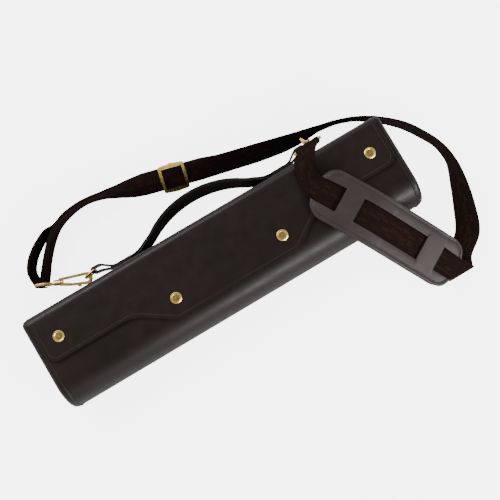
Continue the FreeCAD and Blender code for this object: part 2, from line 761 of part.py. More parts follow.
# --------------------------------------------------------------------------- slide buckle
buckle_centre = run_stations[12][0]
buckle_place = frame_at(buckle_centre, tail_way, tail_across)
buckle = new_body("slide_buckle", buckle_place)
add_pad(buckle, outline([(-27.0, -30.5, 5.0), (0.0, -33.0, 60.0), (27.0, -30.5, 5.0),
                         (28.0, 0.0, 160.0), (27.0, 30.5, 5.0), (0.0, 33.0, 60.0),
                         (-27.0, 30.5, 5.0), (-28.0, 0.0, 160.0)])
        + rectangle(-21.5, 21.5, -24.0, 24.0), "XY_Plane", 3.6, offset=1.4)
for end in (-1, 1):
    add_pad(buckle, rectangle(-3.0, 3.0, min(end * 26.6, end * 30.5), max(end * 26.6, end * 30.5)),
            "XY_Plane", 8.0, offset=-5.4)
add_pad(buckle, circle(0.0, -3.4, 1.7), "XZ_Plane", 56.0, middle=True)

# --------------------------------------------------------------------------- shoulder pad
PAD_LEFT = Vector(225.0, 35.0, 0)
PAD_WAY = Vector(0.5063, -0.8624, 0)
PAD_LOW = FLAP_TOP_Z + CLEAR
pad_place = frame_at(PAD_LEFT + Vector(0, 0, PAD_LOW), PAD_WAY, PAD_WAY.cross(Vector(0, 0, -1)))
PAD_LENGTH = size("pad_length")
BEND_AT = 122.0
BEND_RADIUS = 240.0
droop = math.radians(size("pad_droop"))
FOAM_LOW = size("pad_base") + 0.05
FOAM_HIGH = FOAM_LOW + size("pad_foam")
FACE_LOW = FOAM_HIGH + 0.05
FACE_HIGH = FACE_LOW + size("pad_face")
CHANNEL_LOW = FOAM_HIGH - THIN - 0.6


def pad_profile(low, high, start=-10.0, end=None):
    """Side view of one pad layer: level on the flap, then drooping past the case's edge."""
    reach = PAD_LENGTH + 20.0 if end is None else end
    drop = (reach - BEND_AT) * math.tan(droop)
    return band([(start, 0, 0), (BEND_AT, 0, BEND_RADIUS), (reach, -drop, 0)], low, high)


def pad_layer(name, low, high, inset):
    """One layer of the pad: its bent side view trimmed to the rounded plan outline."""
    half = size("pad_width") / 2 - inset
    corner = size("pad_round") - inset
    plan = outline([(inset, -half, corner), (PAD_LENGTH - inset, -half, corner),
                    (PAD_LENGTH - inset, half, corner), (inset, half, corner)])
    plan_face = Part.Face(Part.Wire(Part.__sortEdges__([curve.toShape() for curve in plan])))
    plan_face.translate(Vector(0, 0, -120))
    column = plan_face.extrude(Vector(0, 0, 200))
    curves = [curve.toShape() for curve in pad_profile(low, high)]
    side_face = Part.Face(Part.Wire(Part.__sortEdges__(curves)))
    side_face.rotate(Vector(), Vector(1, 0, 0), 90)
    side_face.translate(Vector(0, 60, 0))
    sheet_solid = side_face.extrude(Vector(0, -120, 0))
    return sheet_solid.common(column)


def pad_block(start, end, half, low, high):
    block = Part.makeBox(end - start, 2 * half, high - low)
    block.translate(Vector(start, -half, low))
    return block


base_shape = pad_layer("shoulder_pad_base", 0.0, size("pad_base"), 0.0)
foam_shape = pad_layer("shoulder_pad_foam", FOAM_LOW, FOAM_HIGH, 3.0)
face_shape = pad_layer("shoulder_pad_face", FACE_LOW, FACE_HIGH, 0.0)


def bent_strip(low, high, half, start, end):
    curves = [curve.toShape() for curve in pad_profile(low, high, start, end)]
    face = Part.Face(Part.Wire(Part.__sortEdges__(curves)))
    face.rotate(Vector(), Vector(1, 0, 0), 90)
    face.translate(Vector(0, half, 0))
    return face.extrude(Vector(0, -2 * half, 0))


channel = bent_strip(CHANNEL_LOW, FOAM_HIGH + 1.0, WIDTH / 2 + 0.4, -20.0, PAD_LENGTH + 25.0)
foam_shape = foam_shape.cut(channel)
BRIDGE = 40.0
WINDOW = (94.0, 239.0)
for start, end in ((-5.0, WINDOW[0] - BRIDGE), WINDOW, (WINDOW[1] + BRIDGE, PAD_LENGTH + 5.0)):
    face_shape = face_shape.cut(pad_block(start, end, WIDTH / 2 + 0.4, -120.0, 60.0))
add_feature("shoulder_pad_base", base_shape, pad_place)
add_feature("shoulder_pad_foam", foam_shape, pad_place)
add_feature("shoulder_pad_face", face_shape, pad_place)
RUN_LOW = CHANNEL_LOW + 0.2
RUN_START, RUN_END = 8.0, PAD_LENGTH + 4.0
pad_run = bent_strip(RUN_LOW, RUN_LOW + THIN, WIDTH / 2, RUN_START, RUN_END)
add_feature("strap_pad_run", pad_run, pad_place)

# under the pad's far end the webbing folds over itself on a line along X and comes back up
PAD_SIDE = pad_place.Rotation.multVec(Vector(0, 1, 0))
RUN_MIDDLE = RUN_LOW + THIN / 2


def pad_point(along, raised=0.0):
    """Middle of the pad's webbing channel, at a distance along the pad."""
    if along <= BEND_AT:
        return pad_place.multVec(Vector(along, 0, RUN_MIDDLE + raised))
    height = RUN_MIDDLE / math.cos(droop) - (along - BEND_AT) * math.tan(droop)
    return pad_place.multVec(Vector(along, 0, height + raised))


FOLD_Y = -258.0
FOLD_RADIUS = 2.6
FOLD_FACTOR = 1 / abs(PAD_WAY.y)
fold_along = (PAD_LEFT.y - FOLD_Y) / -PAD_WAY.y
upper = pad_point(fold_along)
fold_line = Vector(1, 0, 0)
back_way = Vector(-PAD_WAY.x, PAD_WAY.y, 0)
back_side = Vector(PAD_SIDE.x, -PAD_SIDE.y, 0)
lower = upper - Vector(0, 0, 2 * FOLD_RADIUS)
fold_stations = [(Vector(x, y, z), Vector(*way)) for x, y, z, way in FOLD_RUN]
fold_stations += [
    (lower - back_way * 36.0 - Vector(0, 0, 6.0), back_side, 1.0),
    (lower - back_way * 17.0 - Vector(0, 0, 1.8), back_side, 1.0),
    (lower, fold_line, FOLD_FACTOR),
    (lower + Vector(0, -FOLD_RADIUS * 0.72, FOLD_RADIUS * 0.3), fold_line, FOLD_FACTOR),
    (lower + Vector(0, -FOLD_RADIUS, FOLD_RADIUS), fold_line, FOLD_FACTOR),
    (upper + Vector(0, -FOLD_RADIUS * 0.72, -FOLD_RADIUS * 0.3), fold_line, FOLD_FACTOR),
    (upper, fold_line, FOLD_FACTOR),
    (pad_point(RUN_END + 0.3), PAD_SIDE, 1.0),
]
last_centre, last_side = run_stations[-1]
step_on = fold_stations[0][0] - last_centre
step_on.normalize()
webbing("strap_fold_run", [(last_centre + step_on * 1.2, last_side)] + fold_stations)

# from the pad's near end over the crease and up to the right eye's bar
hook_run = [
    (pad_point(RUN_START - 0.3), PAD_SIDE), (pad_point(-4.0), PAD_SIDE),
    (Vector(224.0, 60.0, 111.5), Vector(0.93, 0.36, 0.0)),
    (Vector(227.0, 80.0, 114.0), Vector(0.97, 0.2, 0.03)),
    (Vector(232.0, 92.0, 124.0), Vector(0.97, 0.1, 0.1)),
    (Vector(236.5, 100.0, 142.0), Vector(0.97, 0.05, 0.18)),
]
webbing("strap_hook_run", hook_run + around_bar("right", Vector(0, -0.2, -1),
                                                (-80.0, -125.0, 180.0, 125.0, 85.0, 60.0), WRAP))

# --------------------------------------------------------------------------- checks and files
doc.recompute()
for item in doc.Objects:
    if "Invalid" in item.State or "Error" in item.State:
        raise RuntimeError("%s failed: %s" % (item.Name, item.State))
os.makedirs("parts", exist_ok=True)
for item in parts:
    shape = item.Shape
    if shape.isNull() or not shape.isValid() or not shape.Solids:
        raise RuntimeError("%s has no valid solid" % item.Label)
    shape.exportStep("parts/%s.step" % item.Label)
    box = shape.BoundBox
    print("%-22s %2d solids %10.0f mm3  x %.1f..%.1f  y %.1f..%.1f  z %.1f..%.1f" % (
        item.Label, len(shape.Solids), shape.Volume, box.XMin, box.XMax, box.YMin, box.YMax,
        box.ZMin, box.ZMax))
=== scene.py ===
import math

import bmesh
import bpy
from mathutils import Matrix, Vector, noise


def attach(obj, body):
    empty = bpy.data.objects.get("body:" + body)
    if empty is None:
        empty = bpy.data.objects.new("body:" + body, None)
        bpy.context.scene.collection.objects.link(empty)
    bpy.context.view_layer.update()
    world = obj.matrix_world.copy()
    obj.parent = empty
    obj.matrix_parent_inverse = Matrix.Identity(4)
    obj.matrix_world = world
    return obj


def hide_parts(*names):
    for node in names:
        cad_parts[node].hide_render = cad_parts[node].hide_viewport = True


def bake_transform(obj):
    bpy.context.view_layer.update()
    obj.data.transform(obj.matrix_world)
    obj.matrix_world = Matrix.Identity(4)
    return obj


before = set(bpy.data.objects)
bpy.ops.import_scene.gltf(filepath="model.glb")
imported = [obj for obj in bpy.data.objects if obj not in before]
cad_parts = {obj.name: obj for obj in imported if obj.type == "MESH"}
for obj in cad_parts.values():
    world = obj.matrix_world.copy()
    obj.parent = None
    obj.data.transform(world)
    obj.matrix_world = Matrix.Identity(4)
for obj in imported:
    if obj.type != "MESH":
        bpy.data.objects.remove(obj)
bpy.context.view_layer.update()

MM = 0.001
scene = bpy.context.scene


# ------------------------------------------------------------------ materials
def new_material(name):
    material = bpy.data.materials.new(name)
    material.use_nodes = True
    nodes = material.node_tree.nodes
    links = material.node_tree.links
    shader = next(node for node in nodes if node.type == "BSDF_PRINCIPLED")
    return material, nodes, links, shader


def noise_node(nodes, links, vector, scale, detail=4.0, roughness=0.55):
    node = nodes.new("ShaderNodeTexNoise")
    node.inputs["Scale"].default_value = scale
    node.inputs["Detail"].default_value = detail
    node.inputs["Roughness"].default_value = roughness
    links.new(vector, node.inputs["Vector"])
    return node.outputs["Fac"]


def ramp(nodes, links, source, stops):
    node = nodes.new("ShaderNodeValToRGB")
    elements = node.color_ramp.elements
    while len(elements) < len(stops):
        elements.new(0.5)
    for element, (place, colour) in zip(elements, stops):
        element.position = place
        element.color = (*colour, 1.0)
    links.new(source, node.inputs["Fac"])
    return node.outputs["Color"]


def grey(value):
    return (value, value, value)


def bump(nodes, links, shader, height, strength, distance, below=None):
    node = nodes.new("ShaderNodeBump")
    node.inputs["Strength"].default_value = strength
    node.inputs["Distance"].default_value = distance
    links.new(height, node.inputs["Height"])
    if below:
        links.new(below, node.inputs["Normal"])
    links.new(node.outputs["Normal"], shader.inputs["Normal"])
    return node.outputs["Normal"]


def leather(name, dark, light, rough=(0.36, 0.5), grain=0.12, coat=0.12):
    """Smooth finished leather: fine pebble grain, faint cloudy tone and uneven shine."""
    material, nodes, links, shader = new_material(name)
    place = nodes.new("ShaderNodeTexCoord").outputs["Object"]
    cloud = noise_node(nodes, links, place, 14.0, 3.0)
    links.new(ramp(nodes, links, cloud, [(0.3, dark), (0.72, light)]), shader.inputs["Base Color"])
    wear = noise_node(nodes, links, place, 45.0, 5.0)
    shine = ramp(nodes, links, wear, [(0.25, grey(rough[0])), (0.75, grey(rough[1]))])
    links.new(shine, shader.inputs["Roughness"])
    pebble = nodes.new("ShaderNodeTexVoronoi")
    pebble.feature = "SMOOTH_F1"
    pebble.inputs["Scale"].default_value = 950.0
    links.new(place, pebble.inputs["Vector"])
    first = bump(nodes, links, shader, pebble.outputs["Distance"], grain, 0.0003)
    bump(nodes, links, shader, noise_node(nodes, links, place, 30.0, 2.0), 0.12, 0.002, first)
    shader.inputs["Coat Weight"].default_value = coat
    shader.inputs["Coat Roughness"].default_value = 0.35
    shader.inputs["Specular IOR Level"].default_value = 0.3
    return material


def metal(name, colour, darker, rough):
    """Plated metal with slight wear in tone and polish."""
    material, nodes, links, shader = new_material(name)
    place = nodes.new("ShaderNodeTexCoord").outputs["Object"]
    tone = noise_node(nodes, links, place, 60.0, 3.0)
    links.new(ramp(nodes, links, tone, [(0.3, darker), (0.6, colour)]), shader.inputs["Base Color"])
    polish = noise_node(nodes, links, place, 300.0, 4.0)
    shine = ramp(nodes, links, polish, [(0.3, grey(rough)), (0.8, grey(rough + 0.14))])
    links.new(shine, shader.inputs["Roughness"])
    shader.inputs["Metallic"].default_value = 1.0
    bump(nodes, links, shader, polish, 0.05, 0.0003)
    return material


def cloth(name, dark, light, scale):
    """Matte cloth, board or foam: speckled tone and a fine rough surface."""
    material, nodes, links, shader = new_material(name)
    place = nodes.new("ShaderNodeTexCoord").outputs["Object"]
    speck = noise_node(nodes, links, place, scale, 6.0, 0.7)
    links.new(ramp(nodes, links, speck, [(0.35, dark), (0.65, light)]), shader.inputs["Base Color"])
    shader.inputs["Roughness"].default_value = 0.92
    shader.inputs["Specular IOR Level"].default_value = 0.15
    bump(nodes, links, shader, speck, 0.4, 0.0006)
    return material


def wave(nodes, links, vector, scale, direction):
    node = nodes.new("ShaderNodeTexWave")
    node.bands_direction = direction
    node.inputs["Scale"].default_value = scale
    node.inputs["Distortion"].default_value = 0.25
    links.new(vector, node.inputs["Vector"])
    return node.outputs["Fac"]


def woven(name, dark, light, motif):
    """Ribbed webbing with a woven tone-on-tone figure; UV is metres along and across."""
    material, nodes, links, shader = new_material(name)
    place = nodes.new("ShaderNodeTexCoord").outputs["UV"]
    rib = wave(nodes, links, place, 210.0, "DIAGONAL")
    weft = wave(nodes, links, place, 330.0, "X")
    mix = nodes.new("ShaderNodeMath")
    mix.operation = "ADD"
    links.new(rib, mix.inputs[0])
    links.new(weft, mix.inputs[1])
    base = ramp(nodes, links, mix.outputs[0], [(0.2, dark), (0.95, light)])
    stretch = nodes.new("ShaderNodeMapping")
    stretch.inputs["Scale"].default_value = (30.0, 85.0, 1.0)
    links.new(place, stretch.inputs["Vector"])
    figure = nodes.new("ShaderNodeTexVoronoi")
    figure.distance = "CHEBYCHEV"
    figure.inputs["Scale"].default_value = 1.6
    links.new(stretch.outputs["Vector"], figure.inputs["Vector"])
    shape = ramp(nodes, links, figure.outputs["Distance"], [(0.3, grey(0.75)), (0.36, grey(0.0))])
    split = nodes.new("ShaderNodeSeparateXYZ")
    links.new(place, split.inputs[0])
    inside = nodes.new("ShaderNodeMath")
    inside.operation = "COMPARE"
    inside.inputs[1].default_value = 0.0
    inside.inputs[2].default_value = 0.0165
    links.new(split.outputs["Y"], inside.inputs[0])
    both = nodes.new("ShaderNodeMath")
    both.operation = "MULTIPLY"
    links.new(shape, both.inputs[0])
    links.new(inside.outputs[0], both.inputs[1])
    tone = nodes.new("ShaderNodeMix")
    tone.data_type = "RGBA"
    links.new(both.outputs[0], tone.inputs["Factor"])
    links.new(base, tone.inputs["A"])
    tone.inputs["B"].default_value = (*motif, 1.0)
    links.new(tone.outputs["Result"], shader.inputs["Base Color"])
    shader.inputs["Roughness"].default_value = 0.9
    shader.inputs["Specular IOR Level"].default_value = 0.08
    bump(nodes, links, shader, mix.outputs[0], 0.5, 0.0005)
    return material


CASE_LEATHER = leather("case_leather", (0.0085, 0.0043, 0.0033), (0.0135, 0.0071, 0.0056),
                       (0.36, 0.48), 0.12, 0.04)
EDGE_LEATHER = leather("edge_leather", (0.0098, 0.0072, 0.0064), (0.0175, 0.0122, 0.0105),
                       (0.38, 0.5), 0.12, 0.05)
PAD_LEATHER = leather("pad_leather", (0.031, 0.0215, 0.0200), (0.047, 0.0340, 0.0315),
                      (0.42, 0.54), 0.1, 0.04)
GOLD = metal("gold_plate", (0.90, 0.64, 0.20), (0.66, 0.43, 0.11), 0.2)
STEEL = metal("steel", (0.42, 0.40, 0.38), (0.30, 0.29, 0.28), 0.34)
BOARD = cloth("fibre_board", (0.13, 0.10, 0.075), (0.22, 0.17, 0.13), 240.0)
FOAM = cloth("foam", (0.010, 0.010, 0.010), (0.028, 0.028, 0.028), 900.0)
LINING = cloth("lining_cloth", (0.022, 0.015, 0.013), (0.042, 0.03, 0.026), 700.0)
THREAD = cloth("thread", (0.040, 0.031, 0.028), (0.085, 0.067, 0.06), 1500.0)
PAD_THREAD = cloth("pad_thread", (0.05, 0.037, 0.034), (0.10, 0.076, 0.07), 1500.0)
WEBBING = woven("webbing", (0.0042, 0.0019, 0.0015), (0.0150, 0.0068, 0.0052), (0.024, 0.0105, 0.0066))


def paint(name, material):
    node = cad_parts[name]
    node.data.materials.clear()
    node.data.materials.append(material)
    return node


def soften(obj, width, segments=3, angle=35):
    edge = obj.modifiers.new("edges", "BEVEL")
    edge.width = width
    edge.segments = segments
    edge.limit_method = "ANGLE"
    edge.angle_limit = math.radians(angle)
    return obj


# ------------------------------------------------------------------ mesh helpers
def make_object(name, mesh, material):
    obj = bpy.data.objects.new(name, mesh)
    scene.collection.objects.link(obj)
    mesh.materials.append(material)
    return obj


def smooth(mesh, angle=40):
    mesh.polygons.foreach_set("use_smooth", [True] * len(mesh.polygons))
    mesh.set_sharp_from_angle(angle=math.radians(angle))


def rounded(corners, closed=True, turn_step=8):
    """Points along an outline given as (x, y, corner radius)."""
    points = []
    count = len(corners)
    for index, (x, y, radius) in enumerate(corners):
        here = Vector((x, y))
        if radius <= 0 or (not closed and index in (0, count - 1)):
            points.append(here)
            continue
        before = (Vector(corners[index - 1][:2]) - here).normalized()
        after = (Vector(corners[(index + 1) % count][:2]) - here).normalized()
        half = before.angle(after) / 2
        inward = (before + after).normalized()
        centre = here + inward * (radius / math.sin(half))
        start = here + before * (radius / math.tan(half)) - centre
        end = here + after * (radius / math.tan(half)) - centre
        sweep = start.angle_signed(end)
        steps = max(2, int(abs(math.degrees(sweep)) / turn_step) + 1)
        for step in range(steps + 1):
            points.append(centre + start @ Matrix.Rotation(sweep * step / steps, 2))
    return points


def plate(name, outline, holes, thickness, place, material, step=6.0, edge=0.6):
    """A sheet cut to an outline with holes, placed by place(x, y, height), all in mm."""
    work = bmesh.new()
    for loop in [outline] + holes:
        verts = [work.verts.new((p[0], p[1], 0)) for p in loop]
        for index, vert in enumerate(verts):
            work.edges.new((vert, verts[(index + 1) % len(verts)]))
    bmesh.ops.triangle_fill(work, edges=work.edges[:], use_beauty=True, normal=(0, 0, 1))
    for axis in (0, 1):
        low = min(p[axis] for p in outline)
        high = max(p[axis] for p in outline)
        normal = (1, 0, 0) if axis == 0 else (0, 1, 0)
        count = int((high - low) / step)
        for index in range(1, count + 1):
            cut = [0.0, 0.0, 0.0]
            cut[axis] = low + (high - low) * index / (count + 1)
            everything = work.verts[:] + work.edges[:] + work.faces[:]
            bmesh.ops.bisect_plane(work, geom=everything, plane_co=cut, plane_no=normal)
    grown = bmesh.ops.extrude_face_region(work, geom=work.faces[:])
    for part in grown["geom"]:
        if isinstance(part, bmesh.types.BMVert):
            part.co.z += thickness
    bmesh.ops.recalc_face_normals(work, faces=work.faces[:])
    for vert in work.verts:
        vert.co = Vector(place(*vert.co)) * MM
    mesh = bpy.data.meshes.new(name)
    work.to_mesh(mesh)
    work.free()
    smooth(mesh, 50)
    obj = make_object(name, mesh, material)
    return soften(obj, edge * MM, 2, 50)


def spline(stations, spacing=4.0):
    """Evenly filled stations (centre, across, factor) along a smooth curve through the given."""
    filled = []
    count = len(stations)
    for index in range(count - 1):
        p0, p1, p2, p3 = (stations[min(max(index + k, 0), count - 1)] for k in (-1, 0, 1, 2))
        gap = (p2[0] - p1[0]).length
        steps = max(1, int(gap / spacing))
        first = max((p1[0] - p0[0]).length, 1e-3)
        last = max((p3[0] - p2[0]).length, 1e-3)
        tangent1 = (p2[0] - p0[0]) * gap / (first + gap)
        tangent2 = (p3[0] - p1[0]) * gap / (last + gap)
        for step in range(steps):
            t = step / steps
            a, b = 2 * t**3 - 3 * t**2 + 1, t**3 - 2 * t**2 + t
            c, d = -2 * t**3 + 3 * t**2, t**3 - t**2
            centre = p1[0] * a + tangent1 * b + p2[0] * c + tangent2 * d
            across = (p1[1] * (1 - t) + p2[1] * t).normalized()
            filled.append((centre, across, p1[2] * (1 - t) + p2[2] * t))
    filled.append(stations[-1])
    return filled


def strip(name, stations, width, thickness, material, lanes, shift=0.0):
    """A flat strip through stations, in mm, with soft edges and UV in metres."""
    rows = []
    travelled = 0.0
    count = len(stations)
    shape = [-1 + 2 * lane / lanes for lane in range(lanes + 1)]
    verts, uvs, path = [], [], []
    for index, (centre, across, factor) in enumerate(stations):
        before = stations[max(index - 1, 0)][0]
        after = stations[min(index + 1, count - 1)][0]
        if index:
            travelled += (centre - before).length
        normal = (after - before).cross(across).normalized()
        middle = centre + normal * shift
        path.append(middle * MM)
        ring = []
        for side in (1, -1):
            for v in shape if side > 0 else reversed(shape):
                height = thickness / 2 * (1 - 0.7 * abs(v) ** 10)
                ring.append(len(verts))
                verts.append((middle + across * (v * width / 2 * factor) + normal * side * height) * MM)
                uvs.append((travelled * MM, v * width / 2 * MM))
        rows.append(ring)
    faces = []
    size = len(rows[0])
    for low, high in zip(rows, rows[1:]):
        for k in range(size):
            faces.append((low[k], low[(k + 1) % size], high[(k + 1) % size], high[k]))
    faces += [tuple(reversed(rows[0])), tuple(rows[-1])]
    mesh = bpy.data.meshes.new(name)
    mesh.from_pydata(verts, [], faces)
    mesh.update()
    layer = mesh.uv_layers.new(name="UVMap")
    for loop in mesh.loops:
        layer.data[loop.index].uv = uvs[loop.vertex_index]
    work = bmesh.new()
    work.from_mesh(mesh)
    bmesh.ops.recalc_face_normals(work, faces=work.faces[:])
    work.to_mesh(mesh)
    work.free()
    smooth(mesh, 60)
    return make_object(name, mesh, material), path


def along(points, spacing, closed=False):
    """Evenly spaced (point, direction) pairs along a polyline of Vectors."""
    loop = points + [points[0]] if closed else points
    pairs = []
    wanted = spacing / 2
    travelled = 0.0
    for start, end in zip(loop, loop[1:]):
        length = (end - start).length
        while wanted <= travelled + length and length > 0:
            pairs.append((start.lerp(end, (wanted - travelled) / length), (end - start).normalized()))
            wanted += spacing
        travelled += length
    return pairs


def stitches(name, points, up, material, spacing=4.2, length=3.0, radius=0.38, closed=False):
    """A row of thread stitches along points in mm; up(point) is the surface's normal."""
    verts, faces = [], []
    for centre, way in along(points, spacing, closed):
        normal = Vector(up(centre)).normalized()
        side = normal.cross(way).normalized()
        start = len(verts)
        for reach, swell in ((-0.5, 0.35), (-0.3, 1.0), (0.3, 1.0), (0.5, 0.35)):
            for spoke in range(6):
                angle = math.tau * spoke / 6
                rim = side * math.cos(angle) + normal * (math.sin(angle) * 0.75)
                verts.append((centre + way * (length * reach) + rim * (radius * swell)) * MM)
        for ring in range(3):
            for spoke in range(6):
                a = start + ring * 6 + spoke
                b = start + ring * 6 + (spoke + 1) % 6
                faces.append((a, b, b + 6, a + 6))
        faces.append(tuple(start + spoke for spoke in reversed(range(6))))
        faces.append(tuple(start + 18 + spoke for spoke in range(6)))
    mesh = bpy.data.meshes.new(name)
    mesh.from_pydata(verts, [], faces)
    mesh.update()
    smooth(mesh, 80)
    return make_object(name, mesh, material)


def tube(name, points, radius, material, spokes=10):
    """A closed ring of round piping along points in mm."""
    verts, faces = [], []
    count = len(points)
    for index, point in enumerate(points):
        way = (points[(index + 1) % count] - points[index - 1]).normalized()
        side = way.cross(Vector((1, 0, 0))).normalized()
        other = way.cross(side)
        for spoke in range(spokes):
            angle = math.tau * spoke / spokes
            rim = side * math.cos(angle) + other * math.sin(angle)
            verts.append((point + rim * radius) * MM)
    for index in range(count):
        for spoke in range(spokes):
            a = index * spokes
            b = (index + 1) % count * spokes
            turned = (spoke + 1) % spokes
            faces.append((a + spoke, a + turned, b + turned, b + spoke))
    mesh = bpy.data.meshes.new(name)
    mesh.from_pydata(verts, [], faces)
    mesh.update()
    smooth(mesh, 80)
    return make_object(name, mesh, material)


# ------------------------------------------------------------------ hard parts straight from CAD
for name in ("snap_caps", "snap_sockets", "snap_studs", "snap_eyelets", "left_ring", "right_ring",
             "left_hook_body", "right_hook_body", "left_hook_gate", "right_hook_gate",
             "left_gate_pin", "right_gate_pin", "left_swivel_eye", "right_swivel_eye",
             "slide_buckle"):
    soften(paint(name, GOLD), 0.5 * MM)
for name in ("left_gate_spring", "right_gate_spring", "handle_rivets"):
    paint(name, STEEL)
for name in ("shell_board", "left_end_board", "right_end_board"):
    paint(name, BOARD)
for name in ("left_end_foam", "right_end_foam", "left_cradle", "middle_cradle", "right_cradle"):
    paint(name, FOAM)
for name in ("shell_lining", "flap_backing", "left_keeper", "middle_keeper", "right_keeper"):
    paint(name, LINING)
for name in ("body_wrap", "left_end_panel", "right_end_panel", "mouth_binding"):
    soften(paint(name, CASE_LEATHER), 0.5 * MM)
for name in ("handle_strip", "left_handle_foot", "right_handle_foot"):
    soften(paint(name, EDGE_LEATHER), 0.7 * MM)

# ------------------------------------------------------------------ piping at the ends
TOP_Y, LOW_Y, FRONT_Z = 100.0, -98.0, 100.0


def section(inset):
    """The case's cross-section as (y, z) points."""
    return rounded([
        (LOW_Y + inset, inset, 36.0 - inset), (TOP_Y - inset, inset, 14.0 - inset),
        (TOP_Y - inset, FRONT_Z - inset, 12.0 - inset),
        (LOW_Y + inset, FRONT_Z - inset, 58.0 - inset),
    ])


for side, sign in (("left", -1), ("right", 1)):
    ring = [Vector((sign * 393.7, y, z)) for y, z in section(0.6)]
    piping = tube(side + "_piping", ring, 2.1, EDGE_LEATHER)
    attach(piping, "case")
    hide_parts(side + "_welt")

# ------------------------------------------------------------------ flap
FLAP_LOW, FLAP_THICK = 103.5, 3.0
CREASE_Y, BEND = 86.4, 14.0
ARC = BEND * math.pi / 2


def on_flap(x, y, height):
    """Flap sheet coordinates to the frame: flat, then bent over the crease and down the top."""
    ripple = 0.5 * noise.noise(Vector((x * 0.006, y * 0.01, 1.7)))
    level = height + ripple
    if y <= CREASE_Y:
        return x, y, FLAP_LOW + level
    turned = min((y - CREASE_Y) / BEND, math.pi / 2)
    reach = BEND - FLAP_THICK + height
    down = max(0.0, y - CREASE_Y - ARC)
    return (x, CREASE_Y + reach * math.sin(turned),
            FLAP_LOW - BEND + FLAP_THICK + reach * math.cos(turned) - down)


def flap_edge(inset, top):
    """Flap outline, inset, with its top edge at sheet coordinate top."""
    half, low, deep = 393.0 - inset, -1.0 + inset, -50.5 + inset
    shoulder, toe = 212.0 - inset * 0.6, 137.0 - inset * 0.6
    return [(-half, top, 0), (-half, low, 20.0 - inset * 0.6), (-shoulder, low, 60.0),
            (-toe, deep, 36.0), (toe, deep, 36.0), (shoulder, low, 60.0),
            (half, low, 20.0 - inset * 0.6), (half, top, 0)]


SNAPS = [(-352.0, 40.0), (352.0, 40.0), (-120.0, -12.0), (120.0, -12.0)]
TAIL = CREASE_Y + ARC + 12.0
flap_points = rounded(flap_edge(0.0, TAIL), True, 5)
flap_holes = [[Vector((x + 2.6 * math.cos(a * math.tau / 16), y + 2.6 * math.sin(a * math.tau / 16)))
               for a in range(16)] for x, y in SNAPS]
flap = plate("flap_leather", flap_points, flap_holes, FLAP_THICK, on_flap, CASE_LEATHER,
             5.0, 0.7)
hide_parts("flap")
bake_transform(flap)

seam = rounded(flap_edge(6.5, CREASE_Y + 2.0), False, 5)
seam_points = [Vector(on_flap(x, y, FLAP_THICK)) for x, y in seam]
flap_seam = stitches("flap_stitches", seam_points, lambda p: (0, 0, 1), THREAD,
                     5.0, 3.6, 0.5)
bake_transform(flap_seam)

# ------------------------------------------------------------------ handle
MID_X, MID_Z = 6.0, 52.0
FOOT_Y, RISE, HALF_SPAN, LEAN = 106.95, 58.0, 164.0, math.radians(30.0)
GRIP_TWIST = math.radians(24.0)
TURN = 2 * math.atan2(RISE, HALF_SPAN)
ARCS = HALF_SPAN / math.sin(TURN)
CROWN, BASE = ARCS * 0.64, ARCS * 0.36
arch = [(-HALF_SPAN - 0.4, 0.0)]
arch += [(-HALF_SPAN + BASE * math.sin(TURN * k / 12), BASE * (1 - math.cos(TURN * k / 12)))
         for k in range(13)]
arch += [(-CROWN * math.sin(TURN * (1 - k / 16)), RISE - CROWN * (1 - math.cos(TURN * (1 - k / 16))))
         for k in range(1, 33)]
arch += [(HALF_SPAN - BASE * math.sin(TURN * (1 - k / 12)), BASE * (1 - math.cos(TURN * (1 - k / 12))))
         for k in range(1, 13)]
arch.append((HALF_SPAN + 0.4, 0.0))
grip_stations = []
for x, height in arch:
    tilt = LEAN * min(1.0, height / 7.0) + GRIP_TWIST * height / RISE
    centre = Vector((MID_X + x, FOOT_Y + height * math.cos(LEAN), MID_Z - height * math.sin(LEAN)))
    grip_stations.append((centre, Vector((0, math.sin(tilt), math.cos(tilt))), 1.0))
for name, shift in (("handle_outer_layer", -2.1), ("handle_inner_layer", 2.1)):
    layer, _ = strip(name.replace("layer", "leather"), grip_stations, 25.0, 4.15, EDGE_LEATHER,
                     8, shift)
    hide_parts(name)
    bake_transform(layer)

# ------------------------------------------------------------------ strap
WIDTH, THIN = 50.8, 2.0
GRIPS = {}
for side, sign, reach, angle, aim in (
    ("left", -1, (-0.984, -0.18, 0), -11.6, (-0.915, 0.364, -0.17)),
    ("right", 1, (0.933, 0.36, 0), 75.0, (-0.167, -0.2, 0.965)),
):
    reach, aim, swing = Vector(reach).normalized(), Vector(aim).normalized(), math.radians(angle)
    bar = Vector((MID_X + sign * 242.0, 122.0, MID_Z))
    grip = bar + reach * (8.5 + 15.5 * math.cos(swing)) + Vector((0, 0, 15.5 * math.sin(swing)))
    GRIPS[side] = grip + aim * 96.0
EYE_BAR = {"left": Vector((-0.158, 0.063, 0.985)).normalized(),
           "right": Vector((0.97, 0.05, 0.18)).normalized()}


def banked(points):
    """Stations from (x, y, z, bank): the left edge is raised by bank degrees."""
    made = []
    for index, (x, y, z, bank) in enumerate(points):
        before = points[max(index - 1, 0)]
        after = points[min(index + 1, len(points) - 1)]
        way = Vector((after[0] - before[0], after[1] - before[1], 0)).normalized()
        tilt = math.radians(bank)
        left = Vector((-way.y, way.x, 0))
        made.append((Vector((x, y, z)), left * math.cos(tilt) + Vector((0, 0, math.sin(tilt))), 1.0))
    return made


def lifted(points, under=0.0):
    """Adds heights to (x, y, bank): the lower edge rests on the ground."""
    rows = []
    for x, y, bank in points:
        tilt = math.radians(bank)
        low = WIDTH / 2 * math.sin(tilt) + (THIN / 2 + 0.3) * math.cos(tilt) + 0.3
        rows.append((x, y, low + under * math.cos(tilt), bank))
    return rows


